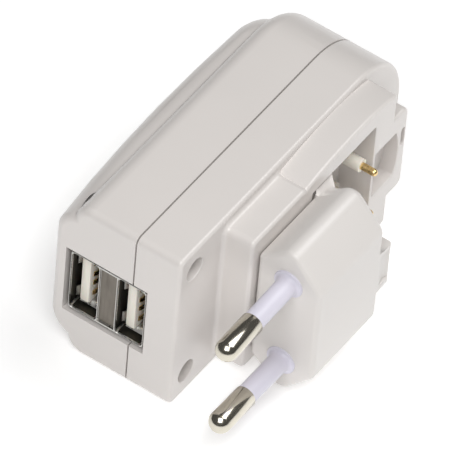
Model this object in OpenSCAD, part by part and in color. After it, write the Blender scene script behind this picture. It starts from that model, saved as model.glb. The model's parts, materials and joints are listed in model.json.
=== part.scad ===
// Two-port USB wall charger with a two-pin mains plug that folds flat along the back of the case.
// Axes before the last shift: +X out of the back, +Y from the USB face to the far end, +Z up.

/* [Case] */
// Length from the USB face to the far end
body_len = 63.7; // [60:0.1:80]
// Height across the two flat sides
body_h = 34.6; // [34:0.2:44]
// Distance from the sockets' shell to the front panel
front_margin = 3.06; // [2.6:0.02:6]
// Extra depth of the front panel at the middle of its length
panel_crown = 1.6; // [0.4:0.1:3]
// Height of the step between the front panel and its shoulder
panel_step = 3.2; // [2:0.1:4]
// Width of the shoulder around the front panel
panel_inset = 2.7; // [1.5:0.1:4]
// Radius of the two far corners
end_r = 14; // [8:0.5:15]
// Radius along the front panel's edge
panel_r = 5; // [3.5:0.5:6]
// Radius along the shoulder's edge
shoulder_r = 3.4; // [2.4:0.1:4]
// Wall thickness of both covers
wall = 1.8; // [1.4:0.1:2.2]
// Depth of the parting line below the back plane
split_depth = 8.7; // [8:0.1:12]
// Width of the parting line
seam = 0.2; // [0.1:0.05:0.4]

/* [Plug bed] */
// Height of the bed that the folded plug lies on
bed_h = 5.7; // [5:0.1:7]
// Distance from the USB face to the bed
bed_start = 12; // [11:0.5:13]
// Distance from the USB face to where the bed widens
bed_step = 27; // [24:0.5:30]
// How far the bed's narrow part lies inside the case's sides
bed_inset = 1.9; // [1:0.1:3]
// Length of the finger tab at the bed's far end
bed_tab_len = 4; // [3:0.5:5]
// Width of the finger tab at the bed's far end
bed_tab_w = 18.6; // [14:0.2:22]
// Radius of the bow along the bed's two sides
bed_bow_r = 40; // [34:1:60]

/* [Folding plug] */
// Thickness of the plug's body
plug_t = 12.2; // [10:0.1:15]
// Height of the plug's body at its widest
plug_h = 34; // [30:0.2:34.4]
// Height of the plug's face that lies on the bed
plug_inner_h = 23.4; // [20:0.2:28]
// Height of the plug's outer face
plug_outer_h = 20.2; // [18:0.2:24]
// Length of the plug's body
plug_len = 18.6; // [18:0.1:22]
// Distance from the USB face to the plug's pin face
plug_start = 13.4; // [13:0.1:16]
// Gap between the plug and its bed in both positions
plug_gap = 0.25; // [0.2:0.05:0.4]
// Distance from the plug's corner to the hinge axis, along each direction
pivot_drop = 3.6; // [3.2:0.1:4]
// Length of a mains pin in front of the plug's body
pin_len = 19; // [18:0.5:19.5]
// Radius of a mains pin's bare end
pin_r = 2; // [1.9:0.05:2.1]
// Length of a mains pin's insulating sleeve
sleeve_len = 10; // [9:0.5:11]
// Distance between the two mains pins at the plug's face
pin_gap = 18.6; // [17.6:0.1:19]
// Distance between the two mains pins at their tips
pin_tip_gap = 17.5; // [17:0.1:18]
// Radius of the steel hinge pin
hinge_r = 1; // [0.8:0.1:1.2]
// Radial clearance of the hinge
hinge_fit = 0.05; // [0.03:0.01:0.08]

/* [USB sockets] */
// Width of one socket's opening across the pair
port_w = 5.12; // [4.9:0.01:6.2]
// Height of one socket's opening
port_h = 12.8; // [12.5:0.1:13.5]
// Distance between the two sockets' openings
port_gap = 3.9; // [3.5:0.1:5]
// Thickness of the sockets' steel shell
shell_t = 0.35; // [0.3:0.01:0.4]
// Length of the sockets' steel shell
shell_len = 14.6; // [13:0.1:17]
// Gap between the shell and the case's opening
shell_gap = 0.7; // [0.4:0.1:1]

/* [Board] */
// Depth of the board's component side below the back plane
board_depth = 6.2; // [6:0.1:7]
// Thickness of the board
board_t = 1.6; // [1:0.1:1.6]

/* [Hidden] */
$fn = 48;

cut = 0.5;              // how far a cut runs past the surface it opens
skin = 0.01;            // thickness of a flat slice inside a hull
hull_fn = 32;
ring_fn = 64;
panel_steps = 5;        // slices along the crowned panel
half_h = body_h / 2;
panel_half = half_h - panel_inset;
inner_wall = 1.2;

// USB connector
shell_w = 2 * port_w + port_gap + 2 * shell_t;
shell_h = port_h + 2 * shell_t;
shell_x = -board_depth - shell_w;
shell_z = -1;
shell_y = 0.5;
port_x = [shell_x + shell_t, shell_x + shell_t + port_w + port_gap];
spring_window = [2, 4];
spring_start = 3;
tongue_t = 1.84;
tongue_h = 11.1;
tongue_side = 0.9;
tongue_front = 1.9;
tongue_len = 8.4;
insulator_y = 10.2;
contact_z = [-3.5, -1, 1, 3.5];
contact_w = 1;
contact_t = 0.3;

// Depth of the case in front of its back plane
case_depth = front_margin - shell_x;
shoulder_x = panel_step - case_depth;

// Screws that hold the covers
screw_y = 4.3;
screw_z = half_h - 4.9;
boss_r = 3;
screw_head_r = 1.9;
screw_well_r = 2.1;
screw_r = 0.9;
screw_free = 0.2;
screw_head_t = 1.5;
screw_seat = 4.4;
screw_slot = [0.8, 2.2, 0.5];

// Plug and hinge
plug_in = bed_h + plug_gap;
plug_out = plug_in + plug_t;
plug_mid = plug_in + plug_t / 2;
plug_end = plug_start + plug_len;
pivot_x = plug_in - pivot_drop;
pivot_y = plug_end + pivot_drop;
plug_wall = 1.8;
cap_t = 2.6;
cap_rim = 1.6;          // how far the end cap's plug reaches into the housing
arm_t = 2.3;
arm_r = 2.1;
arm_web = 3.2;
well_half = 12.6;
arm_z = well_half - 0.4 - arm_t;
well_floor = pivot_x - arm_r - 0.8;
well_start = plug_end - 2.9;
cheek_half = 2.4;
hinge_seat = 1.6;       // depth of the hinge pin's holes past the well
hinge_len = 2 * (well_half + hinge_seat - 0.1);
swing_reach = plug_out - pivot_x;

// Catch on the plug's end and the pocket that takes it when the plug stands out
catch_t = 2.7;
catch_len = 2.5;
catch_half = 4.6;
catch_r = 0.6;
thumb_r = 2.4;
thumb_depth = 0.5;
pocket_half = catch_half + 0.6;
pocket_floor = plug_in - catch_len - 0.5;
pocket_start = pivot_y + swing_reach - catch_t - 0.7;
pocket_end = pivot_y + swing_reach + 3.6;
well_end = pocket_start - 0.7;
pocket_bow_r = 14;
bed_end = pocket_end - 1.9;
tab_end = bed_end + bed_tab_len;
bed_bow_y = bed_end - 10;
near_r = 1.2;
far_r = 0.8;
tab_r = 1.5;
bed_lap = 6;            // overlap of the bed's three stretches
bed_clear = 0.7;
latch_slot = [1.2, 1, 4];
latch_slot_z = 0.8;

// Contact posts in the well
post_y = pivot_y + plug_mid - pivot_x - 0.5;
post_z = 5;
post_r = 0.65;
post_top = bed_h + 2.4;
post_sleeve_r = 1.2;
post_sleeve_top = bed_h - 0.6;
post_flange = [0.8, 0.7];
slot_half = 1.15;
slot_in = pivot_x + post_y - pivot_y - 1.1;
slot_out = slot_in + 3.2;
slot_depth = post_top - plug_in + 0.6;

// Mains pins
pin_tilt = atan((pin_gap - pin_tip_gap) / 2 / pin_len);
sleeve_r = 1.8;
pin_core_r = 1.45;
collar_r = 2.7;
collar_lip = 0.25;
collar_foot = 0.8;      // how far the collar reaches behind the plug's wall
pin_tail = 5;
strip_t = 0.4;
strip_w = 2.4;

// Board and its components, each placed by its distance from the USB face and its height
board_back = board_t - board_depth;
board_edge = 0.5;
transformer_y = 27;
frame_size = [12.8, 5.8, 11.6];
frame_lift = 2;
frame_gap = 0.2;
frame_window = [7.2, 6];
frame_limb = 2.8;
winding_r = 2.9;
winding_len = 12.8;
bobbin_w = 7;
bobbin_len = 14.4;
flange_t = 1.1;
flange_h = 11.4;
input_cap = [post_y + 5.2, 7.2];
input_cap_r = 4;
input_cap_h = 14.4;
cap_vent = [3.4, 0.2];
output_cap = [19, 11.4];
output_cap_r = 2.5;
output_cap_h = 9.5;
choke_y = 41.4;
choke_r = 2.9;
choke_core_r = 2.3;
choke_h = 9.1;
choke_rim = 1.2;
fuse = [40.6, 12.6];
fuse_r = 1.5;
fuse_len = 6.4;
fuse_leg = 0.7;
safety_cap = [36, -7];
safety_cap_r = 4;
safety_cap_t = 3;
opto = [26, -10.6];
opto_size = [3.4, 6.4, 4.6];
bridge = [54, 0];
bridge_size = [1.6, 4.6, 4];
chip = [24, 6];
chip_size = [1.5, 5, 4];
diode_y = 17;
diode_z = [-8, -3];
diode_size = [1.6, 4.6, 2.6];

// Overall box, for the last shift
box_x = [-case_depth - panel_crown, plug_out];
box_y = [plug_start - pin_len, body_len];
shift = [-(box_x[0] + box_x[1]) / 2, -(box_y[0] + box_y[1]) / 2, half_h];

plastic = [0.86, 0.84, 0.82];
steel = [0.75, 0.74, 0.7];
brass = [0.8, 0.65, 0.35];

// Lifts a (y, z) outline to a slab between two depths
module along_x(x0, x1) translate([x0, 0, 0]) rotate([90, 0, 90]) linear_extrude(x1 - x0) children();

// Raises a (x, y) outline to a slab between two heights
module along_z(z0, z1) translate([0, 0, z0]) linear_extrude(z1 - z0) children();

module both_sides() for (s = [0, 1]) mirror([0, 0, s]) children();

module box(lo, hi) translate(lo) cube(hi - lo);

module rod_x(x0, x1, y, z, r) translate([x0, y, z]) rotate([0, 90, 0]) cylinder(r = r, h = x1 - x0);

// Rectangle between two corners with rounded corners
module round_rect(lo, hi, r) {
    translate([lo[0] + r, lo[1]]) square([hi[0] - lo[0] - 2 * r, hi[1] - lo[1]]);
    translate([lo[0], lo[1] + r]) square([hi[0] - lo[0], hi[1] - lo[1] - 2 * r]);
    for (y = [lo[0] + r, hi[0] - r], z = [lo[1] + r, hi[1] - r]) translate([y, z]) circle(r);
}

// Case outline seen from the back, drawn in by an inset
module case_outline(inset) {
    r = end_r - inset;
    hh = half_h - inset;
    end = body_len - inset;
    translate([inset, -hh]) square([end - r - inset, 2 * hh]);
    translate([inset, r - hh]) square([end - inset, 2 * (hh - r)]);
    for (s = [-1, 1]) translate([end - r, s * (hh - r)]) circle(r);
}

// Depth of the crowned front panel at a distance from the USB face
function panel_x(y) = -case_depth - 4 * panel_crown * (y / body_len) * (1 - y / body_len);

// Rounded far corner: a ring of edge radius r around the corner's centre
module corner_ring(x, corner_r, r) {
    translate([x, body_len - end_r, half_h - end_r]) rotate([0, 90, 0])
        rotate_extrude($fn = ring_fn) intersection() {
            translate([corner_r - r, 0]) circle(r, $fn = hull_fn);
            translate([0, -r]) square([corner_r, 2 * r]);
        }
}

module edge_disc(x, y, z, r) translate([x, y, z]) rotate([-90, 0, 0]) cylinder(r = r, h = skin, $fn = hull_fn);

// Case in front of the parting line, up to the shoulder
module shoulder_solid() {
    hull() {
        along_x(-split_depth - skin, -split_depth) case_outline(0);
        both_sides() edge_disc(shoulder_x + shoulder_r, 0, half_h - shoulder_r, shoulder_r);
        both_sides() corner_ring(shoulder_x + shoulder_r, end_r, shoulder_r);
    }
}

// Crowned front panel, drawn in by an inset
module panel_solid(inset) {
    r = panel_r - inset;
    last = body_len - end_r;
    hull() {
        both_sides() for (i = [0:panel_steps - 1]) let (y = max(inset, last * i / panel_steps))
            edge_disc(panel_x(y) + panel_r, y, panel_half - panel_r, r);
        both_sides() corner_ring(panel_x(last) + panel_r, end_r - panel_inset - inset, r);
    }
}

// Opening in the USB face, for one of the two covers
module usb_opening(x0, x1) {
    box([x0, -cut, shell_z - shell_h / 2 - shell_gap], [x1, wall + cut, shell_z + shell_h / 2 + shell_gap]);
}

module front_cover() {
    opening_x = shell_x - shell_gap;
    color(plastic) translate(shift) difference() {
        union() {
            difference() {
                union() {
                    shoulder_solid();
                    panel_solid(0);
                }
                along_x(shoulder_x + wall, -split_depth + cut) case_outline(wall);
                panel_solid(wall);
            }
            both_sides() intersection() {
                rod_x(shoulder_x, -split_depth, screw_y, screw_z, boss_r);
                along_x(shoulder_x, -split_depth) case_outline(wall / 2);
            }
        }
        box([-split_depth - seam / 2, -cut, -body_h], [0, body_len + cut, body_h]);
        box([shoulder_x - body_h, -body_h, -body_h], [0, 0, body_h]);
        usb_opening(opening_x, 0);
        both_sides() rod_x(shoulder_x + 2, 0, screw_y, screw_z, screw_r);
    }
}

// Outline of the plug bed, drawn in by an inset
module bed_outline(inset) {
    near = half_h - bed_inset - inset;
    far = half_h - bed_clear - inset;
    tab = bed_tab_w / 2 - inset;
    intersection() {
        union() {
            round_rect([bed_start + inset, -near], [bed_step + bed_lap, near], near_r);
            intersection() {
                round_rect([bed_step + inset, -far], [bed_end - inset, far], far_r);
                for (s = [0, 1]) mirror([0, s]) intersection() {
                    translate([bed_bow_y, far - bed_bow_r]) circle(bed_bow_r, $fn = 4 * ring_fn);
                    translate([0, -far]) square([body_len, 2 * far]);
                }
            }
            round_rect([bed_end - bed_lap, -tab], [tab_end - inset, tab], tab_r);
        }
        case_outline(bed_clear + inset);
    }
}

// Pocket outline behind the well, with a bowed far wall
module pocket_outline(grow) {
    intersection() {
        translate([pocket_start - grow, -pocket_half - grow])
            square([pocket_end - pocket_start + 2 * grow, 2 * (pocket_half + grow)]);
        translate([pocket_end - pocket_bow_r, 0]) circle(pocket_bow_r + grow);
    }
}

module rear_cover() {
    color(plastic) translate(shift) difference() {
        union() {
            difference() {
                union() {
                    along_x(-split_depth + seam / 2, 0) case_outline(0);
                    along_x(-skin, bed_h) bed_outline(0);
                }
                along_x(-split_depth - cut, -wall) case_outline(wall);
                along_x(-wall - cut, bed_h - wall) bed_outline(wall);
            }
            box([well_floor - inner_wall, well_start - inner_wall, -well_half - inner_wall],
                [bed_h - wall / 2, well_end + inner_wall, well_half + inner_wall]);
            both_sides() box([well_floor - inner_wall, pivot_y - cheek_half, well_half],
                [bed_h - wall / 2, pivot_y + cheek_half, half_h - bed_inset - wall / 2]);
            along_x(pocket_floor - inner_wall, bed_h - wall / 2) intersection() {
                pocket_outline(inner_wall);
                bed_outline(wall / 2);
            }
            both_sides() intersection() {
                rod_x(-split_depth + seam / 2, -wall / 2, screw_y, screw_z, boss_r);
                along_x(-split_depth, 0) case_outline(wall / 2);
            }
        }
        box([well_floor, well_start, -well_half], [bed_h + cut, well_end, well_half]);
        along_x(pocket_floor, bed_h + cut) pocket_outline(0);
        translate([bed_h - latch_slot[0], tab_end - latch_slot[1] - 0.6, latch_slot_z])
            cube(latch_slot + [cut, 0, 0]);
        usb_opening(-split_depth - cut, -board_depth + shell_gap / 2);
        both_sides() {
            rod_x(-screw_seat, cut, screw_y, screw_z, screw_well_r);
            rod_x(-split_depth - cut, 0, screw_y, screw_z, screw_r + screw_free);
            rod_x(well_floor - inner_wall - cut, well_floor + cut, post_y, post_z, post_r + hinge_fit);
            translate([pivot_x, pivot_y, 0]) cylinder(r = hinge_r, h = well_half + hinge_seat);
        }
    }
}

module cover_screws() {
    color(steel) translate(shift) both_sides() difference() {
        union() {
            rod_x(-screw_seat, screw_head_t - screw_seat, screw_y, screw_z, screw_head_r);
            rod_x(shoulder_x + 4, skin - screw_seat, screw_y, screw_z, screw_r);
        }
        translate([screw_head_t - screw_slot[0] - screw_seat, screw_y, screw_z]) for (a = [0, 90])
            rotate([a, 0, 0]) translate([0, -screw_slot[1] / 2, -screw_slot[2] / 2])
                cube(screw_slot + [cut, 0, 0]);
    }
}

module hinge_pin() {
    color(steel) translate(shift) translate([pivot_x, pivot_y, -hinge_len / 2])
        cylinder(r = hinge_r, h = hinge_len);
}

module contact_sleeves() {
    color("white") translate(shift) both_sides() difference() {
        union() {
            rod_x(well_floor, post_sleeve_top, post_y, post_z, post_sleeve_r);
            rod_x(well_floor, well_floor + post_flange[0], post_y, post_z, post_sleeve_r + post_flange[1]);
        }
        rod_x(well_floor - cut, bed_h, post_y, post_z, post_r);
    }
}

module contact_pins() {
    color(brass) translate(shift) both_sides() {
        rod_x(-board_depth - 0.8, post_top - post_r, post_y, post_z, post_r);
        translate([post_top - post_r, post_y, post_z]) sphere(post_r);
    }
}

module main_board() {
    notch = screw_y + boss_r + 1.9;
    color("darkgreen") translate(shift) difference() {
        along_x(-board_depth, board_back) intersection() {
            case_outline(wall + board_edge);
            translate([wall, -body_h]) square([body_len - 5, 2 * body_h]);
        }
        both_sides() box([-board_depth - cut, -cut, screw_z - boss_r - 0.4],
            [board_back + cut, notch, half_h]);
        both_sides() rod_x(-board_depth - cut, board_back + cut, post_y, post_z, post_r + 2 * hinge_fit);
    }
}

module usb_shell() {
    low = shell_z - shell_h / 2;
    color(steel) translate(shift) difference() {
        box([shell_x, shell_y, low], [-board_depth, shell_y + shell_len, low + shell_h]);
        box([shell_x + shell_t, shell_y - cut, low + shell_t],
            [-board_depth - shell_t, shell_y + shell_len - shell_t, low + shell_h - shell_t]);
        // Spring windows in the two long sides
        for (x = port_x, z = [low - cut, low + shell_h - shell_t - cut])
            translate([x + port_w / 2 - spring_window[0] / 2, shell_y + spring_start, z])
                cube([spring_window[0], spring_window[1], shell_t + 2 * cut]);
    }
}

module usb_divider() {
    color("dimgray") translate(shift) difference() {
        box([port_x[0] + port_w, shell_y + 0.3, shell_z - port_h / 2],
            [port_x[1], shell_y + insulator_y - 0.6, shell_z + port_h / 2]);
        box([port_x[0] + port_w + shell_t, shell_y + 1, shell_z - port_h / 2 - cut],
            [port_x[1] - shell_t, shell_y + insulator_y, shell_z + port_h / 2 + cut]);
    }
}

module usb_tongues() {
    color("white") translate(shift) {
        for (x = port_x) box([x + tongue_side, tongue_front, shell_z - tongue_h / 2],
            [x + tongue_side + tongue_t, tongue_front + tongue_len + cut, shell_z + tongue_h / 2]);
        box([port_x[0], shell_y + insulator_y - cut, shell_z - port_h / 2],
            [port_x[1] + port_w, shell_y + shell_len - shell_t, shell_z + port_h / 2]);
    }
}

module usb_contacts() {
    color(brass) translate(shift) for (x = port_x, dz = contact_z)
        translate([x + tongue_side + tongue_t, tongue_front + 0.8, shell_z + dz - contact_w / 2])
            cube([contact_t, tongue_len - 1.2, contact_w]);
}

// Components stand on the board, so their local heights run from its component side to the front
module on_board(at) translate([-board_depth, at[0], at[1]]) rotate([0, -90, 0]) children();

// The core's two frames stand side by side with the winding through their windows
module transformer_core() {
    color("dimgray") translate(shift) on_board([transformer_y, 0]) for (s = [-1, 0]) difference() {
        translate([-frame_size[0] / 2, s * frame_size[1] + (s + 0.5) * frame_gap, frame_lift])
            cube(frame_size);
        translate([-frame_window[0] / 2, -winding_len / 2, frame_lift + frame_limb])
            cube([frame_window[0], winding_len, frame_window[1]]);
    }
}

module transformer_winding() {
    color("gold") translate(shift) on_board([transformer_y, 0]) {
        translate([0, winding_len / 2, frame_lift + frame_limb + frame_window[1] / 2])
            rotate([90, 0, 0]) cylinder(r = winding_r, h = winding_len);
        translate([-bobbin_w / 2, -bobbin_len / 2, 0]) cube([bobbin_w, bobbin_len, frame_lift - 0.05]);
        for (y = [-bobbin_len / 2, bobbin_len / 2 - flange_t])
            translate([-bobbin_w / 2, y, 0]) cube([bobbin_w, flange_t, flange_h]);
    }
}

module input_capacitors() {
    color("black") translate(shift) both_sides() on_board(input_cap) {
        cylinder(r = input_cap_r, h = input_cap_h);
        cylinder(r = cap_vent[0], h = input_cap_h + cap_vent[1]);
    }
}

module output_capacitors() {
    color("navy") translate(shift) both_sides() on_board(output_cap)
        cylinder(r = output_cap_r, h = output_cap_h);
}

module choke() {
    color("darkred") translate(shift) on_board([choke_y, 0]) {
        cylinder(r = choke_r, h = choke_rim);
        cylinder(r = choke_core_r, h = choke_h);
        translate([0, 0, choke_h - choke_rim]) cylinder(r = choke_r, h = choke_rim);
    }
}

module fuse_resistor() {
    color("tan") translate(shift) on_board(fuse) {
        translate([0, -fuse_len * 0.6, fuse_r + 0.1]) rotate([-90, 0, 0]) cylinder(r = fuse_r, h = fuse_len);
        for (y = [-fuse_len / 2, fuse_len / 10]) translate([-fuse_leg / 2, y, 0]) cube([fuse_leg, fuse_leg, 1]);
    }
}

module safety_capacitor() {
    color("steelblue") translate(shift) on_board(safety_cap) {
        translate([0, safety_cap_t / 2, safety_cap_r + 1]) rotate([90, 0, 0])
            cylinder(r = safety_cap_r, h = safety_cap_t);
    }
}

// Small square packages, centred on their place on the board's component side or its other side
module package(x, at, size) translate([x, at[0] - size[1] / 2, at[1] - size[2] / 2]) cube(size);

module optocoupler() color("black") translate(shift) package(-board_depth - opto_size[0], opto, opto_size);

module bridge_rectifier() color("black") translate(shift) package(board_back, bridge, bridge_size);

module controller_chip() color("black") translate(shift) package(board_back, chip, chip_size);

module output_diodes() {
    color("black") translate(shift) for (z = diode_z) package(board_back, [diode_y, z], diode_size);
}

// Six-sided section of the plug, drawn in by an inset
module plug_section(inset) {
    i = inset;
    polygon([
        [plug_in + i, plug_inner_h / 2 - i / 2], [plug_mid, plug_h / 2 - i * 1.2],
        [plug_out - i, plug_outer_h / 2 - i / 2], [plug_out - i, i / 2 - plug_outer_h / 2],
        [plug_mid, i * 1.2 - plug_h / 2], [plug_in + i, i / 2 - plug_inner_h / 2]
    ]);
}

// Stretch of the plug's section along the case
module plug_prism(y0, y1, inset) {
    translate([0, y1, 0]) rotate([90, 0, 0]) linear_extrude(y1 - y0) plug_section(inset);
}

// Places a mains pin along local +Z, which runs from the plug's face towards the tip
module at_pin() {
    both_sides() translate([plug_mid, plug_start, pin_gap / 2]) rotate([90 + pin_tilt, 0, 0]) children();
}

module plug_housing() {
    color(plastic) translate(shift) difference() {
        plug_prism(plug_start, plug_end - cap_t, 0);
        plug_prism(plug_start + plug_wall + 1, plug_end - cap_t + cut, plug_wall);
        at_pin() translate([0, 0, -2 * plug_wall]) cylinder(r = collar_r, h = 3 * plug_wall);
    }
}

module plug_end_cap() {
    color(plastic) translate(shift) difference() {
        union() {
            plug_prism(plug_end - cap_t, plug_end, 0);
            plug_prism(plug_end - cap_t - cap_rim, plug_end - cap_t, plug_wall + hinge_fit);
            both_sides() along_z(arm_z, arm_z + arm_t) {
                translate([pivot_x, pivot_y]) circle(arm_r);
                translate([pivot_x, pivot_y]) rotate(-45) translate([0, -arm_web / 2])
                    square([pivot_drop * sqrt(2) + arm_web / 2, arm_web]);
                translate([plug_in, plug_end - cap_t]) square([arm_web, cap_t]);
            }
            along_z(-catch_half, catch_half)
                round_rect([plug_out - catch_t, plug_end - 2], [plug_out, plug_end + catch_len], catch_r);
        }
        both_sides() {
            along_z(arm_z - cut, arm_z + arm_t + cut) translate([pivot_x, pivot_y]) circle(hinge_r + hinge_fit);
            box([slot_in, plug_end - 5, post_z - slot_half], [slot_out, plug_end + cut, post_z + slot_half]);
        }
        along_z(1 - catch_half, catch_half - 1)
            translate([plug_out + thumb_r - thumb_depth, plug_end + catch_len / 2]) circle(thumb_r);
    }
}

module plug_pins() {
    color(steel) translate(shift) at_pin() {
        translate([0, 0, -pin_tail]) cylinder(r = pin_core_r, h = sleeve_len + pin_tail + skin);
        translate([0, 0, sleeve_len]) cylinder(r = pin_r, h = pin_len - sleeve_len - pin_r);
        translate([0, 0, pin_len - pin_r]) sphere(pin_r);
    }
}

module pin_sleeves() {
    color([0.93, 0.93, 1]) translate(shift) at_pin() difference() {
        union() {
            translate([0, 0, -plug_wall - collar_foot])
                cylinder(r = collar_r, h = plug_wall + collar_foot + collar_lip);
            cylinder(r = sleeve_r, h = sleeve_len);
        }
        translate([0, 0, -pin_tail - 1]) cylinder(r = pin_core_r, h = sleeve_len + pin_tail + 2);
    }
}

module plug_contacts() {
    foot = plug_start + pin_tail + 0.1;
    touch = post_z + post_r + 0.1;
    slot_mid = (slot_in + slot_out) / 2;
    color(brass) translate(shift) both_sides() {
        box([plug_mid - strip_w / 2, foot, touch],
            [plug_mid + strip_w / 2, foot + strip_t, pin_gap / 2 + pin_core_r]);
        box([slot_mid - strip_w / 2, foot, touch],
            [slot_mid + strip_w / 2, plug_end - cap_t + 0.2, touch + strip_t]);
    }
}

front_cover();
rear_cover();
cover_screws();
hinge_pin();
contact_sleeves();
contact_pins();
main_board();
usb_shell();
usb_divider();
usb_tongues();
usb_contacts();
transformer_core();
transformer_winding();
input_capacitors();
output_capacitors();
choke();
fuse_resistor();
safety_capacitor();
optocoupler();
bridge_rectifier();
controller_chip();
output_diodes();
plug_housing();
plug_end_cap();
plug_pins();
pin_sleeves();
plug_contacts();
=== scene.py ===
"""Looks of the USB wall charger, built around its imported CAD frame. Lengths are in metres."""

import json
import math

import bmesh
import bpy
from mathutils import Matrix, Vector


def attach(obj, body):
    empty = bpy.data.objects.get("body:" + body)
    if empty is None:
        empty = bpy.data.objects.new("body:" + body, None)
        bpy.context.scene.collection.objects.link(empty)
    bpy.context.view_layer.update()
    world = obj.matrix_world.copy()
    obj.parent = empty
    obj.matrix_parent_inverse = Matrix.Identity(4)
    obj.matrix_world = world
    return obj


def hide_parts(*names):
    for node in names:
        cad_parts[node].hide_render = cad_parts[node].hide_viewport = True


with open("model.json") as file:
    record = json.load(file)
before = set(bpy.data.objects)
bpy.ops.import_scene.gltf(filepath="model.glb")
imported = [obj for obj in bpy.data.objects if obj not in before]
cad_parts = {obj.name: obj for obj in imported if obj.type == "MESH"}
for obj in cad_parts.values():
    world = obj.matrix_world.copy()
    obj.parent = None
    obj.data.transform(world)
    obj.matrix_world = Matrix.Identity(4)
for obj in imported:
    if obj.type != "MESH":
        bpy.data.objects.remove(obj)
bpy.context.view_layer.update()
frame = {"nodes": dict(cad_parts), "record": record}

MM = 0.001
nodes = frame["nodes"]

VIEW_ANGLES = (31.0, 48.4, 5.3)   # azimuth, elevation and roll in degrees
VIEW_DISTANCE = 1.45
VIEW_WIDTH = 0.0727               # width of the view at the object
VIEW_CENTRE = Vector((0.0008, 0.001, 0.0173))
VIEW_OFFSET = (0.0068, 0.0013)    # how far the object stands right of and above the middle
LIGHT_DISTANCE = 0.5
KEY_POWER, KEY_SIZE = 1.6, (0.3, 0.3)
TOP_POWER, TOP_SIZE = 1.2, (0.32, 0.32)
WORLD_POWER = 0.1
FLOOR_GLOW = 0.3
FLOOR_HALF = 3.0
FLOOR_DROP = 0.02 * MM            # keeps the floor just under the case


# ---------------------------------------------------------------- camera and light

def aim_camera():
    """Looks down on the USB face, the back and the folded plug."""
    azimuth, elevation, roll = (math.radians(a) for a in VIEW_ANGLES)
    back = Vector((math.sin(azimuth) * math.cos(elevation),
                   -math.cos(azimuth) * math.cos(elevation), math.sin(elevation)))
    right = Vector((math.cos(azimuth), math.sin(azimuth), 0.0))
    up = back.cross(right)
    right, up = (math.cos(roll) * right + math.sin(roll) * up,
                 math.cos(roll) * up - math.sin(roll) * right)
    centre = VIEW_CENTRE - VIEW_OFFSET[0] * right - VIEW_OFFSET[1] * up
    data = bpy.data.cameras.new("camera")
    data.sensor_width = 36.0
    data.lens = data.sensor_width * VIEW_DISTANCE / VIEW_WIDTH
    data.clip_start = 0.1
    data.clip_end = 20.0
    camera = bpy.data.objects.new("camera", data)
    bpy.context.scene.collection.objects.link(camera)
    turn = Matrix((right, up, back)).transposed().to_4x4()
    camera.matrix_world = Matrix.Translation(centre + VIEW_DISTANCE * back) @ turn
    bpy.context.scene.camera = camera


def softbox(name, towards, size, power):
    """A square light that faces the object from a given direction."""
    data = bpy.data.lights.new(name, "AREA")
    data.shape = "RECTANGLE"
    data.size, data.size_y = size
    data.energy = power
    light = bpy.data.objects.new(name, data)
    bpy.context.scene.collection.objects.link(light)
    direction = Vector(towards).normalized()
    light.location = direction * LIGHT_DISTANCE
    light.rotation_mode = "QUATERNION"
    light.rotation_quaternion = direction.to_track_quat("Z", "Y")


def light_studio():
    softbox("key_front", (0.24, -0.52, 0.82), KEY_SIZE, KEY_POWER)
    softbox("top_right", (0.36, 0.4, 1.0), TOP_SIZE, TOP_POWER)
    bpy.context.scene.view_settings.view_transform = "Standard"
    world = bpy.data.worlds.new("studio")
    bpy.context.scene.world = world
    world.use_nodes = True
    background = world.node_tree.nodes["Background"]
    background.inputs["Color"].default_value = (1.0, 0.985, 0.96, 1)
    background.inputs["Strength"].default_value = WORLD_POWER


# ---------------------------------------------------------------- materials

def new_material(name, colour, roughness, **sockets):
    """A principled material; sockets are set on the shader itself."""
    material = bpy.data.materials.new(name)
    material.use_nodes = True
    shader = material.node_tree.nodes["Principled BSDF"]
    shader.inputs["Base Color"].default_value = (*colour, 1)
    shader.inputs["Roughness"].default_value = roughness
    for socket, value in sockets.items():
        shader.inputs[socket.replace("_", " ")].default_value = value
    return material, shader


def noise(tree, scale, detail=2.0, stretch=(1, 1, 1)):
    """A noise in the object's own coordinates, scale in features per metre."""
    place = tree.nodes.new("ShaderNodeTexCoord")
    mapping = tree.nodes.new("ShaderNodeMapping")
    mapping.inputs["Scale"].default_value = stretch
    texture = tree.nodes.new("ShaderNodeTexNoise")
    texture.inputs["Scale"].default_value = scale
    texture.inputs["Detail"].default_value = detail
    tree.links.new(place.outputs["Object"], mapping.inputs["Vector"])
    tree.links.new(mapping.outputs["Vector"], texture.inputs["Vector"])
    return texture.outputs["Fac"]


def ramp(tree, value, low, high, start=0.3, end=0.7):
    """Two colours blended by a value."""
    node = tree.nodes.new("ShaderNodeValToRGB")
    node.color_ramp.elements[0].position = start
    node.color_ramp.elements[1].position = end
    node.color_ramp.elements[0].color = (*low, 1)
    node.color_ramp.elements[1].color = (*high, 1)
    tree.links.new(value, node.inputs["Fac"])
    return node.outputs["Color"]


def spread(tree, value, low, high):
    """A value stretched between two numbers."""
    node = tree.nodes.new("ShaderNodeMapRange")
    node.inputs["From Min"].default_value = 0.3
    node.inputs["From Max"].default_value = 0.7
    node.inputs["To Min"].default_value = low
    node.inputs["To Max"].default_value = high
    tree.links.new(value, node.inputs["Value"])
    return node.outputs["Result"]


def bump(tree, shader, height, strength, depth):
    """Fine relief from a height."""
    node = tree.nodes.new("ShaderNodeBump")
    node.inputs["Strength"].default_value = strength
    node.inputs["Distance"].default_value = depth
    tree.links.new(height, node.inputs["Height"])
    tree.links.new(node.outputs["Normal"], shader.inputs["Normal"])


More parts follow.
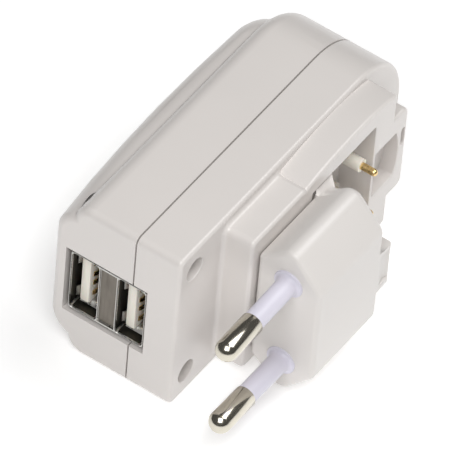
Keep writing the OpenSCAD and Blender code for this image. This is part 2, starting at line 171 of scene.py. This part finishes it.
def moulded(name, colour, roughness, grain=2600.0, grain_depth=0.012, vary=0.01, **sockets):
    """Moulded plastic: faint tone changes, spark-eroded grain and uneven gloss."""
    material, shader = new_material(name, colour, roughness, **sockets)
    tree = material.node_tree
    dark = tuple(c * (1 - vary) for c in colour)
    light = tuple(min(1.0, c * (1 + vary)) for c in colour)
    tree.links.new(ramp(tree, noise(tree, 60.0, 3.0), dark, light), shader.inputs["Base Color"])
    tree.links.new(spread(tree, noise(tree, 240.0, 4.0), roughness - 0.02, roughness + 0.03),
                   shader.inputs["Roughness"])
    bump(tree, shader, noise(tree, grain, 2.0), 0.35, grain_depth * MM)
    return material


def plated(name, colour, roughness, brush=(1, 1, 1), scale=1800.0, vary=0.08):
    """Plated metal with fine drawing marks along the direction that brush leaves unscaled."""
    material, shader = new_material(name, colour, roughness, Metallic=1.0)
    tree = material.node_tree
    dark = tuple(c * (1 - vary) for c in colour)
    light = tuple(min(1.0, c * (1 + vary / 2)) for c in colour)
    marks = noise(tree, scale, 3.0, brush)
    tree.links.new(ramp(tree, noise(tree, 300.0, 3.0), dark, light), shader.inputs["Base Color"])
    tree.links.new(spread(tree, marks, roughness * 0.7, roughness * 1.5), shader.inputs["Roughness"])
    bump(tree, shader, marks, 0.15, 0.004 * MM)
    return material


def make_materials():
    return {
        "case_plastic": moulded("case_plastic", (0.69, 0.655, 0.63), 0.3,
                                Coat_Weight=0.2, Coat_Roughness=0.15),
        "plug_plastic": moulded("plug_plastic", (0.70, 0.67, 0.645), 0.34,
                                Coat_Weight=0.15, Coat_Roughness=0.2),
        "white_plastic": moulded("white_plastic", (0.86, 0.82, 0.73), 0.4, Subsurface_Weight=0.1,
                                 Subsurface_Scale=0.001),
        "sleeve_plastic": moulded("sleeve_plastic", (0.68, 0.66, 0.75), 0.36),
        "steel": plated("steel", (0.55, 0.54, 0.52), 0.3, (1, 1, 0.1)),
        "nickel": plated("nickel", (0.62, 0.585, 0.5), 0.15, (1, 0.06, 1)),
        "dark_metal": plated("dark_metal", (0.2, 0.18, 0.155), 0.42, (1, 1, 0.1)),
        "brass": plated("brass", (0.82, 0.6, 0.28), 0.24, (1, 0.1, 1)),
        # painted shade: a near-black copy of the steel for the sockets' inner walls, standing in for the shade
        # inside them
        "cage_painted_shade": plated("cage_painted_shade", (0.07, 0.065, 0.055), 0.4, (1, 1, 0.1)),
        "board": moulded("board", (0.02, 0.12, 0.045), 0.35, grain=900.0, vary=0.2),
        "ferrite": moulded("ferrite", (0.03, 0.03, 0.032), 0.6, grain=1600.0, grain_depth=0.03, vary=0.2),
        "winding_tape": moulded("winding_tape", (0.65, 0.45, 0.05), 0.3, grain=700.0, vary=0.08),
        "capacitor_sleeve": moulded("capacitor_sleeve", (0.015, 0.018, 0.045), 0.3, grain=500.0, vary=0.2),
        "ceramic_body": moulded("ceramic_body", (0.5, 0.38, 0.25), 0.45, vary=0.1),
        "blue_epoxy": moulded("blue_epoxy", (0.02, 0.1, 0.3), 0.25, grain=800.0, vary=0.1),
        "chip_plastic": moulded("chip_plastic", (0.012, 0.012, 0.012), 0.5,
                                grain=3000.0, grain_depth=0.02, vary=0.3),
    }


# ---------------------------------------------------------------- mesh helpers

# The CAD's own measures, in millimetres: x out of the back, y from the USB face, z from the middle
SHIFT = Vector((3.775, -29.05, 17.3))


def placed(x, y, z):
    """A point of the CAD's own measures in the frame, in metres."""
    return (Vector((x, y, z)) + SHIFT) * MM


def mesh_of(name, corners, faces):
    """Mesh with its doubled points joined and its faces turned outwards."""
    mesh = bpy.data.meshes.new(name)
    mesh.from_pydata([tuple(c) for c in corners], [], faces)
    body = bmesh.new()
    body.from_mesh(mesh)
    bmesh.ops.remove_doubles(body, verts=body.verts, dist=0.001 * MM)
    bmesh.ops.recalc_face_normals(body, faces=body.faces)
    body.to_mesh(mesh)
    body.free()
    return mesh


def loft(name, rings):
    """Closed body through rings of equal count, given in CAD millimetres."""
    count = len(rings[0])
    corners = [placed(*point) for ring in rings for point in ring]
    faces = []
    for low in range(0, (len(rings) - 1) * count, count):
        for i in range(count):
            j = (i + 1) % count
            faces.append((low + i, low + j, low + count + j, low + count + i))
    faces.append(tuple(range(count)))
    faces.append(tuple((len(rings) - 1) * count + i for i in range(count)))
    return mesh_of(name, corners, faces)


def turned(name, profile, steps=48):
    """Body of revolution about local +Z from a profile of (radius, height) in millimetres."""
    corners, faces = [], []
    for radius, height in profile:
        for i in range(steps):
            angle = 2 * math.pi * i / steps
            corners.append((radius * math.cos(angle) * MM, radius * math.sin(angle) * MM, height * MM))
    for r in range(len(profile) - 1):
        for i in range(steps):
            j = (i + 1) % steps
            faces.append((r * steps + i, r * steps + j, (r + 1) * steps + j, (r + 1) * steps + i))
    faces.append(tuple(range(steps)))
    faces.append(tuple((len(profile) - 1) * steps + i for i in range(steps)))
    return mesh_of(name, corners, faces)


def joined(name, meshes):
    """One mesh holding several."""
    body = bmesh.new()
    for mesh in meshes:
        body.from_mesh(mesh)
    result = bpy.data.meshes.new(name)
    body.to_mesh(result)
    body.free()
    return result


def arc(centre, radius, start, stop, steps):
    """Points on an arc in a plane, angles in degrees."""
    turns = [math.radians(start + (stop - start) * i / steps) for i in range(steps + 1)]
    return [(centre[0] + radius * math.cos(a), centre[1] + radius * math.sin(a)) for a in turns]


def rounded_polygon(points, radii, steps=6):
    """Polygon whose corners are replaced by arcs."""
    result = []
    count = len(points)
    for i, (corner, radius) in enumerate(zip(points, radii)):
        here = Vector(corner)
        if radius == 0:
            result.append(tuple(here))
            continue
        before = (Vector(points[i - 1]) - here).normalized()
        after = (Vector(points[(i + 1) % count]) - here).normalized()
        half = before.angle(after) / 2
        reach = radius / math.tan(half)
        middle = here + (before + after).normalized() * (radius / math.sin(half))
        first, last = here + before * reach - middle, here + after * reach - middle
        sweep = first.angle_signed(last)
        for s in range(steps + 1):
            a = -sweep * s / steps
            turned_to = Vector((first.x * math.cos(a) - first.y * math.sin(a),
                                first.x * math.sin(a) + first.y * math.cos(a)))
            result.append(tuple(middle + turned_to))
    return result


def combined(mesh, other, operation):
    """Boolean of two meshes, worked out at once."""
    first = bpy.data.objects.new("first", mesh)
    second = bpy.data.objects.new("second", other)
    for item in (first, second):
        bpy.context.scene.collection.objects.link(item)
    step = first.modifiers.new("cut", "BOOLEAN")
    step.operation = operation
    step.solver = "EXACT"
    step.object = second
    graph = bpy.context.evaluated_depsgraph_get()
    result = bpy.data.meshes.new_from_object(first.evaluated_get(graph))
    result.name = mesh.name
    for item in (first, second):
        bpy.data.objects.remove(item)
    return result


def cleaned_mesh(node, name):
    """The CAD node's mesh with its doubled points joined and its flat faces merged."""
    mesh = nodes[node].data.copy()
    mesh.name = name
    body = bmesh.new()
    body.from_mesh(mesh)
    bmesh.ops.remove_doubles(body, verts=body.verts, dist=0.002 * MM)
    bmesh.ops.dissolve_limit(body, angle_limit=math.radians(1.0), verts=body.verts, edges=body.edges)
    body.to_mesh(mesh)
    body.free()
    mesh.materials.clear()
    return mesh


def add_piece(name, mesh, body, slot, stands_for):
    """Piece that rides on a body, wears a slot's material and stands for CAD nodes."""
    piece = bpy.data.objects.new(name, mesh)
    bpy.context.scene.collection.objects.link(piece)
    mesh.materials.clear()
    mesh.materials.append(materials[slot])
    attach(piece, body)
    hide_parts(*stands_for)
    return piece


def smooth(piece, angle):
    """Smooth shading up to an angle in degrees between faces."""
    piece.data.shade_smooth()
    piece.data.set_sharp_from_angle(angle=math.radians(angle))
    return piece


# ---------------------------------------------------------------- pieces

def dress_inner_nodes():
    """CAD nodes whose own shape shows keep it and take their slot's material."""
    slots = {row["node"]: row["material_slot"] for row in frame["record"]["subparts"]}
    for name, node in nodes.items():
        node.data.materials.clear()
        node.data.materials.append(materials[slots[name]])


HALF_H = 17.3
CASE_LEN = 63.7
FACE_ROUND = 1.4        # where the USB face turns into the sides
FAR_ROUND = 14.0
SEAM_X = -8.7
SEAM_HALF = 0.1
SHOULDER_X = -20.9
SHOULDER_ROUND = 3.4
PANEL_ROUND = 5.0
PANEL_HALF = 14.6
PANEL_X = -24.1
CROWN = 1.6
WALL = 1.8
BED_X = 5.7
WELL_FLOOR = -0.55
POCKET_FLOOR = 2.95
LATCH_FLOOR = 4.5
SCREW_AT = (4.3, 12.4)
SCREW_WELL_R = 2.1
SCREW_SEAT = 4.4
BOSS_R = 3.0
OPENING_Z = (-8.45, 6.45)
OPENING_BACK = -5.85


def quarter(radius, steps, start=0.0, stop=90.0):
    """Pairs of travel and inset along a rounded edge, from its tangent to its top."""
    for k in range(steps + 1):
        a = math.radians(start + (stop - start) * k / steps)
        yield radius * math.sin(a), radius * (1 - math.cos(a))


def slab(name, outline, layers):
    """Body from outlines in (y, z) stacked along x; layers hold depth and inset."""
    return loft(name, [[(x, y, z) for y, z in outline(inset)] for x, inset in layers])


def rounded_rectangle(low, high, near_round, far_round, steps=8):
    """Outline in (y, z) whose corners near the USB face and far from it have their own radii."""
    def outline(inset):
        corners = [(low[0] + inset, low[1] + inset), (high[0] - inset, low[1] + inset),
                   (high[0] - inset, high[1] - inset), (low[0] + inset, high[1] - inset)]
        radii = [max(r - inset, 0.05) for r in (near_round, far_round, far_round, near_round)]
        return rounded_polygon(corners, radii, steps)
    return outline


def rim_layers(bottom, top, radius, steps=5):
    """Straight wall up to a rounded rim."""
    return [(bottom, 0.0)] + [(top - radius + travel, inset) for travel, inset in quarter(radius, steps)]


def mouth_layers(floor, top, flare):
    """Cavity with a slightly opened mouth."""
    return [(floor, 0.0), (top - flare, 0.0), (top - 0.45 * flare, -0.12 * flare), (top, -flare),
            (top + 0.8, -flare - 0.8)]


BOW_CENTRE, BOW_TOP = 43.1, 16.6
BOW_NEAR, BOW_FAR = 90.0, 40.0
FAR_BED = (26.8, 53.1)


def bowed_outline(inset):
    """The bed's far stretch, with its two sides bowed outwards."""
    steps = 14
    first, last = FAR_BED[0] + inset, FAR_BED[1] - inset
    side = []
    for k in range(steps + 1):
        y = first + (last - first) * k / steps
        bow = BOW_NEAR if y < BOW_CENTRE else BOW_FAR
        z = BOW_TOP - bow + math.sqrt((bow - inset) ** 2 - (y - BOW_CENTRE) ** 2)
        side.append((y, z))
    points = [(y, -z) for y, z in side] + side[::-1]
    radii = [0.0] * len(points)
    near, far = max(1.6 - inset, 0.05), max(0.8 - inset, 0.05)
    radii[0] = radii[-1] = near
    radii[steps] = radii[steps + 1] = far
    return rounded_polygon(points, radii, 4)


def pocket_outline(inset):
    """Three straight sides and a bowed far wall."""
    start, half, bow, end = 48.0 + inset, 5.2 - inset, 14.0 - inset, 41.0
    wall = []
    for k in range(9):
        z = -half + 2 * half * k / 8
        wall.append((end + math.sqrt(bow ** 2 - z ** 2), z))
    points = [(start, -half)] + wall + [(start, half)]
    radii = [0.4] + [0.6] + [0.0] * 7 + [0.6] + [0.4]
    return rounded_polygon(points, radii, 4)


def rod_mesh(x0, x1, y, z, radius, flare=0.0):
    """Round rod along x; with a flare its far end opens out and goes on past x1."""
    profile = [(radius, x0), (radius, x1 - flare)]
    if flare:
        profile += [(radius + 0.15 * flare, x1 - 0.4 * flare), (radius + flare, x1), (radius + flare, x1 + 0.6)]
    rod = turned("rod", profile)
    rod.transform(Matrix.Translation(placed(0, y, z)) @ Matrix.Rotation(math.pi / 2, 4, "Y"))
    return rod


def at_screws(x0, x1, radius, flare=0.0):
    """Rods on the axes of the two cover screws."""
    return [rod_mesh(x0, x1, SCREW_AT[0], side * SCREW_AT[1], radius, flare) for side in (1, -1)]


def make_rear_cover():
    case = rounded_rectangle((0, -HALF_H), (CASE_LEN, HALF_H), FACE_ROUND, FAR_ROUND, 14)
    bottom = SEAM_X + SEAM_HALF
    seam_edge = [(bottom, 0.12), (bottom + 0.12, 0.0)]
    cover = slab("rear_cover_shell", case, seam_edge + rim_layers(bottom + 0.2, 0.0, 0.75)[1:])

    near = rounded_rectangle((12.0, -15.3), (27.9, 15.3), 1.3, 1.6)
    foot = 0.8
    swell = [(foot * (1 - math.cos(math.radians(b))), foot * (math.sin(math.radians(b)) - 1))
             for b in (2, 25, 45, 65, 90)]
    near_bed = slab("near_bed", near, [(-0.5, -foot)] + swell + rim_layers(foot, BED_X, 0.7)[1:])
    far_bed = slab("far_bed", bowed_outline, rim_layers(-0.5, BED_X, 0.6))
    tab = slab("tab", rounded_rectangle((47.0, -9.3), (57.1, 9.3), 0.4, 1.5), rim_layers(-0.5, BED_X, 0.6))
    for part in (near_bed, far_bed, tab):
        cover = combined(cover, part, "UNION")

    inside = rounded_rectangle((WALL, WALL - HALF_H), (CASE_LEN - WALL, HALF_H - WALL),
                               0.5, FAR_ROUND - WALL, 12)
    cavity = slab("cavity", inside, [(bottom - 1, 0.0), (-WALL, 0.0)])
    cover = combined(cover, cavity, "DIFFERENCE")
    cover = combined(cover, joined("bosses", at_screws(bottom + 0.3, -1.5, BOSS_R)), "UNION")
    well = slab("well", rounded_rectangle((29.1, -12.6), (47.3, 12.6), 0.5, 0.5, 4),
                mouth_layers(WELL_FLOOR, BED_X, 0.25))
    pocket = slab("pocket", pocket_outline, mouth_layers(POCKET_FLOOR, BED_X, 0.3))
    latch = slab("latch", rounded_rectangle((55.5, 0.8), (56.5, 4.8), 0.45, 0.45, 5),
                 mouth_layers(LATCH_FLOOR, BED_X, 0.15))
    screw_wells = joined("screw_wells", at_screws(-SCREW_SEAT, 0.0, SCREW_WELL_R, 0.3))
    opening = box_mesh((bottom - 1, -1, OPENING_Z[0]), (OPENING_BACK, 2.3, OPENING_Z[1]))
    for part in (well, pocket, latch, screw_wells, opening):
        cover = combined(cover, part, "DIFFERENCE")
    finish_boolean(add_piece("rear_cover_shell", cover, "charger", "case_plastic", ["rear_cover"]))


def finish_boolean(piece, angle=33.0):
    """Shades a worked-out body smoothly, its flat faces staying flat."""
    smooth(piece, angle)
    normals = piece.modifiers.new("normals", "WEIGHTED_NORMAL")
    normals.keep_sharp = True
    return piece


ARC_STEPS = 12
HALVINGS = 40


def front_ring(y, inset, push=0.0):
    """Front cover's section at a distance from the USB face, drawn in by an inset."""
    along = y / CASE_LEN
    centre_x = PANEL_X - 4 * CROWN * along * (1 - along) + PANEL_ROUND - push
    panel_r = PANEL_ROUND - inset
    panel_z = PANEL_HALF - PANEL_ROUND
    shoulder_z = HALF_H - SHOULDER_ROUND
    shoulder_r = SHOULDER_ROUND - inset
    flat_x = SHOULDER_X + inset

    def shoulder(z):
        if z < shoulder_z:
            return flat_x
        return SHOULDER_X + SHOULDER_ROUND - math.sqrt(max(shoulder_r ** 2 - (z - shoulder_z) ** 2, 0.0))

    # the height at which the panel's edge meets the shoulder, by halving
    low, high = panel_z, min(panel_z + panel_r, HALF_H - inset)
    for _ in range(HALVINGS):
        middle = (low + high) / 2
        panel_x = centre_x - math.sqrt(max(panel_r ** 2 - (middle - panel_z) ** 2, 0.0))
        if panel_x < shoulder(middle):
            low = middle
        else:
            high = middle
    join = (low + high) / 2
    last = 90.0
    if join >= shoulder_z:
        last = math.degrees(math.acos(min(1.0, (join - shoulder_z) / shoulder_r)))
    half = [(SEAM_X + 0.6, HALF_H - inset)]
    for k in range(ARC_STEPS + 1):
        a = math.radians(last * k / ARC_STEPS)
        half.append((SHOULDER_X + SHOULDER_ROUND - shoulder_r * math.sin(a),
                     shoulder_z + shoulder_r * math.cos(a)))
    first = math.asin(min(1.0, (join - panel_z) / panel_r))
    for k in range(ARC_STEPS + 1):
        a = first * (1 - k / ARC_STEPS)
        half.append((centre_x - panel_r * math.cos(a), panel_z + panel_r * math.sin(a)))
    return [(x, y, z) for x, z in half] + [(x, y, -z) for x, z in reversed(half)]


def make_front_cover():
    """The CAD cover, its USB end trimmed to the rounded outline of an envelope around it."""
    rings = []
    for travel, inset in quarter(FACE_ROUND, 6, 0, 86):
        rings.append(front_ring(FACE_ROUND - travel, inset - 0.01))
    rings.reverse()
    rings += [front_ring(FACE_ROUND + 0.4, -0.5), front_ring(FACE_ROUND + 3, -0.5, 2.5),
              front_ring(CASE_LEN + 2, -0.5, 2.5)]
    envelope = loft("envelope", rings)
    cover = combined(cleaned_mesh("front_cover", "front_cover_shell"), envelope, "INTERSECT")
    finish_boolean(add_piece("front_cover_shell", cover, "charger", "case_plastic", ["front_cover"]))


CAGE = (-21.04, -6.2, -7.75, 5.75)                  # low x, high x, low z, high z
CAGE_Y = (0.4, 15.1)
SOCKETS = ((-20.69, -15.57), (-11.67, -6.55))       # low and high x of each
SOCKET_Z = (-7.4, 5.4)
SOCKET_END = 10.4
SHADE_START = 0.75
WALL_LEAF = ((2.2, 0.35), (2.7, 0.8), (3.3, 1.0), (4.2, 0.95), (6.0, 0.5), (8.5, 0.12))     # y, lift
SIDE_LEAF = ((1.9, 0.3), (2.4, 0.8), (3.1, 1.0), (4.0, 0.95), (6.0, 0.5), (8.5, 0.15))
CONTACT = ((2.75, 0.0), (3.1, 0.2), (3.7, 0.36), (4.4, 0.4), (5.1, 0.3), (6.2, 0.1), (9.6, 0.05))
CONTACT_Z = (-4.5, -2, 0, 2.5)
TONGUE_X = (0.9, 2.74)                              # from the socket's low side
TONGUE_Z = (-6.55, 4.55)


def tube_ring(y, x0, x1, z0, z1, corner):
    """Rounded rectangle across y."""
    corners = [(x0, z0), (x1, z0), (x1, z1), (x0, z1)]
    return [(x, y, z) for x, z in rounded_polygon(corners, [corner] * 4, 4)]


def socket_ring(y, low, high, grow, corner):
    """A socket's section, grown on every side."""
    return tube_ring(y, low - grow, high + grow, SOCKET_Z[0] - grow, SOCKET_Z[1] + grow, corner)


def leaf(name, path, width, across, thickness=0.2):
    """Bent metal strip: path holds points in CAD millimetres, across is the strip's width direction."""
    across = Vector(across)
    side = across * width / 2
    points = [Vector(point) for point in path]
    rings = []
    for k, point in enumerate(points):
        before, after = points[max(k - 1, 0)], points[min(k + 1, len(points) - 1)]
        normal = (after - before).cross(across).normalized() * thickness / 2
        rings.append([tuple(point + side + normal), tuple(point - side + normal),
                      tuple(point - side - normal), tuple(point + side - normal)])
    return loft(name, rings)


def paint_shade_on_socket_walls(cage):
    """Paints shade on the sockets' inner walls past the rim: they take a near-black copy of the steel that
    stands in for the shade inside the sockets.
    """
    cage.data.materials.append(materials["cage_painted_shade"])
    near = 0.05
    for face in cage.data.polygons:
        x, y, z = face.center / MM - SHIFT
        for low, high in SOCKETS:
            within = low - near < x < high + near and SOCKET_Z[0] - near < z < SOCKET_Z[1] + near
            on_wall = min(abs(x - low), abs(x - high), abs(z - SOCKET_Z[0]), abs(z - SOCKET_Z[1])) < near
            if within and on_wall and y > SHADE_START:
                face.material_index = 1


def make_usb():
    x0, x1, z0, z1 = CAGE
    body = loft("usb_cage", [tube_ring(CAGE_Y[0], x0 + 0.12, x1 - 0.12, z0 + 0.12, z1 - 0.12, 0.5),
                             tube_ring(CAGE_Y[0] + 0.12, x0, x1, z0, z1, 0.6),
                             tube_ring(CAGE_Y[1], x0, x1, z0, z1, 0.6)])
    for low, high in SOCKETS:
        mouth = loft("mouth", [socket_ring(-0.3, low, high, 0.22, 0.8),
                               socket_ring(CAGE_Y[0], low, high, 0.16, 0.8),
                               socket_ring(CAGE_Y[0] + 0.3, low, high, 0, 0.6),
                               socket_ring(SOCKET_END, low, high, 0, 0.6)])
        body = combined(body, mouth, "DIFFERENCE")
    gap = (SOCKETS[0][1] + 0.3, SOCKETS[1][0] - 0.3)
    recess = box_mesh((gap[0], -1, SOCKET_Z[0] + 0.1), (gap[1], 0.75, SOCKET_Z[1] - 0.1))
    body = combined(body, recess, "DIFFERENCE")
    leaves = []
    for low, high in SOCKETS:
        middle = (low + high) / 2
        for z, into in ((SOCKET_Z[0], 1), (SOCKET_Z[1], -1)):
            path = [(middle, y, z + into * lift) for y, lift in WALL_LEAF]
            leaves.append(leaf("leaf", path, 3.3, (1, 0, 0)))
        for z in (-4.9, 2.9):
            for x, into in ((low, 1), (high, -1)):
                reach = 0.72 if into > 0 else 0.9
                path = [(x + into * lift * reach, y, z) for y, lift in SIDE_LEAF]
                leaves.append(leaf("leaf", path, 2.2, (0, 0, 1)))
    cage = joined("usb_cage", [body] + leaves)
    paint_shade_on_socket_walls(finish_boolean(add_piece("usb_cage", cage, "charger", "steel", ["usb_shell"]), 40))

    plate_z = (SOCKET_Z[0] + 0.1, SOCKET_Z[1] - 0.1)
    plate = loft("usb_divider_plate", [
        tube_ring(y, gap[0] + inset, gap[1] - inset, plate_z[0] + inset, plate_z[1] - inset, corner)
        for y, inset, corner in ((0.72, 0.12, 0.2), (0.8, 0.04, 0.25), (1.0, 0.04, 0.25))])
    smooth(add_piece("usb_divider_plate", plate, "charger", "dark_metal", ["usb_divider"]), 30)

    tongues, contacts = [], []
    for low, _ in SOCKETS:
        a, b = low + TONGUE_X[0], low + TONGUE_X[1]
        tongues.append(loft("tongue", [
            tube_ring(y, a + inset, b - inset, TONGUE_Z[0] + inset, TONGUE_Z[1] - inset, corner)
            for y, inset, corner in ((1.9, 0.3, 0.25), (1.98, 0.12, 0.3), (2.2, 0, 0.3), (10.5, 0, 0.3))]))
        for z in CONTACT_Z:
            path = [(b + lift, y, z) for y, lift in CONTACT]
            contacts.append(leaf("contact", path, 1.0, (0, 0, 1), 0.16))
    back = loft("insulator", [tube_ring(9.9, SOCKETS[0][0] + 0.05, SOCKETS[1][1] - 0.05, -7.3, 5.3, 0.3),
                              tube_ring(14.6, SOCKETS[0][0] + 0.05, SOCKETS[1][1] - 0.05, -7.3, 5.3, 0.3)])
    block = joined("usb_tongue_block", tongues + [back])
    smooth(add_piece("usb_tongue_block", block, "charger", "white_plastic", ["usb_tongues"]), 30)
    springs = joined("usb_contact_springs", contacts)
    smooth(add_piece("usb_contact_springs", springs, "charger", "brass", ["usb_contacts"]), 40)


PLUG_START, PLUG_SPLIT, PLUG_END = 13.4, 29.4, 32.0
PLUG_CORNERS = [(5.95, 11.7), (12.05, 17.0), (18.15, 10.1), (18.15, -10.1), (12.05, -17.0), (5.95, -11.7)]
PLUG_ROUND = [0.9, 2.2, 1.7, 1.7, 2.2, 0.9]
PLUG_MIDDLE_X = 12.05
FACE_EDGE, END_EDGE = 0.9, 1.4      # rounding of the plug's two ends
SLOT_X, SLOT_Z, SLOT_START = (10.45, 13.65), (3.85, 6.15), 27.0


def plug_ring(y, inset):
    """Rounded six-sided section of the plug at a distance from the USB face."""
    count = len(PLUG_CORNERS)
    moved = []
    for i in range(count):
        here = Vector(PLUG_CORNERS[i])
        before = (Vector(PLUG_CORNERS[i - 1]) - here).normalized()
        after = (Vector(PLUG_CORNERS[(i + 1) % count]) - here).normalized()
        bisector = (before + after).normalized()
        moved.append(tuple(here + bisector * inset / math.sin(before.angle(after) / 2)))
    radii = [max(r - inset * 0.4, 0.3) for r in PLUG_ROUND]
    return [(x, y, z) for x, z in rounded_polygon(moved, radii)]


def make_plug():
    front = [plug_ring(PLUG_START + FACE_EDGE * (1 - math.sin(math.radians(a))),
                       FACE_EDGE * (1 - math.cos(math.radians(a)))) for a in (90, 70, 50, 30, 12, 0)]
    housing = loft("plug_body", front + [plug_ring(PLUG_SPLIT, 0)])
    smooth(add_piece("plug_body", housing, "plug", "plug_plastic", ["plug_housing"]), 30)

    back = [plug_ring(PLUG_END - END_EDGE * (1 - math.sin(math.radians(a))),
                      END_EDGE * (1 - math.cos(math.radians(a)))) for a in (0, 15, 32, 50, 70, 90)]
    cap = loft("plug_end", [plug_ring(PLUG_SPLIT - 1.0, 0.02), plug_ring(PLUG_SPLIT, 0.02)] + back)
    keep_arms = box_mesh((-1, 26, -13), (9.2, 41, 13))
    keep_catch = box_mesh((15.2, 30.6, -4.7), (18.2, 36, 4.7))
    extras = combined(cleaned_mesh("plug_end_cap", "extras"), joined("keep", [keep_arms, keep_catch]),
                      "INTERSECT")
    cap = combined(cap, extras, "UNION")
    for side in (1, -1):
        low, high = sorted((side * SLOT_Z[0], side * SLOT_Z[1]))
        slot = box_mesh((SLOT_X[0], SLOT_START, low), (SLOT_X[1], PLUG_END + 1, high))
        cap = combined(cap, slot, "DIFFERENCE")
    smooth(add_piece("plug_end", cap, "plug", "plug_plastic", ["plug_end_cap"]), 30)


def box_mesh(low, high):
    """Box between two corners in CAD millimetres."""
    corners = [placed(x, y, z) for x in (low[0], high[0]) for y in (low[1], high[1]) for z in (low[2], high[2])]
    faces = [(0, 1, 3, 2), (4, 6, 7, 5), (0, 4, 5, 1), (2, 3, 7, 6), (0, 2, 6, 4), (1, 5, 7, 3)]
    return mesh_of("box", corners, faces)


PIN_FOOT = (PLUG_MIDDLE_X, PLUG_START, 9.3)
PIN_TILT = math.radians(1.658)
PIN_R, PIN_CORE_R, SLEEVE_R = 2.0, 1.45, 1.8
PIN_STRAIGHT, PIN_TIP, SLEEVE_LEN = 17.0, 18.995, 10.0


def stand_on_plug(mesh, side):
    """Turns a body of revolution so that its +Z runs along one mains pin."""
    centre = placed(PIN_FOOT[0], PIN_FOOT[1], side * PIN_FOOT[2])
    turn = Matrix.Rotation(math.pi / 2 + side * PIN_TILT, 4, "X")
    mesh.transform(Matrix.Translation(centre) @ turn)
    return mesh


def make_pins():
    """Mains pins and their sleeves, as (radius, height) profiles from the plug's face."""
    dome = arc((0, PIN_STRAIGHT), PIN_R, 0, 84, 12)
    pin_profile = [(PIN_CORE_R, -5.0), (PIN_CORE_R, SLEEVE_LEN), (1.9, SLEEVE_LEN), (PIN_R, SLEEVE_LEN + 0.12)]
    pin_profile += dome + [(0.02, PIN_TIP)]
    collar = [(1.5, -1.0), (2.7, -1.0), (2.7, 0.12), (2.62, 0.24)]
    flare = [(1.85 + 0.68 * (1 - math.sin(math.radians(a))), 0.25 + 0.9 * (1 - math.cos(math.radians(a))))
             for a in (10, 25, 40, 55, 70, 85)]
    sleeve_profile = collar + flare + [(1.83, 2.2), (SLEEVE_R, SLEEVE_LEN - 0.12),
                                       (1.7, SLEEVE_LEN - 0.01), (1.46, SLEEVE_LEN - 0.01)]
    for name, profile, slot, node in (("mains_pins", pin_profile, "nickel", "plug_pins"),
                                      ("mains_sleeves", sleeve_profile, "sleeve_plastic", "pin_sleeves")):
        both = joined(name, [stand_on_plug(turned(name, profile, 64), side) for side in (1, -1)])
        smooth(add_piece(name, both, "plug", slot, [node]), 40)


def make_floor():
    mesh = bpy.data.meshes.new("floor")
    half = FLOOR_HALF
    corners = [(-half, -half, 0), (half, -half, 0), (half, half, 0), (-half, half, 0)]
    mesh.from_pydata(corners, [], [(0, 1, 2, 3)])
    floor = bpy.data.objects.new("floor", mesh)
    bpy.context.scene.collection.objects.link(floor)
    floor.location.z = -FLOOR_DROP
    paper = moulded("floor_paper", (0.93, 0.93, 0.93), 0.8, grain=900.0, vary=0.005)
    shader = paper.node_tree.nodes["Principled BSDF"]
    shader.inputs["Emission Color"].default_value = (1, 1, 1, 1)
    shader.inputs["Emission Strength"].default_value = FLOOR_GLOW
    mesh.materials.append(paper)


aim_camera()
light_studio()
materials = make_materials()
dress_inner_nodes()
make_front_cover()
make_rear_cover()
make_usb()
make_plug()
make_pins()
make_floor()
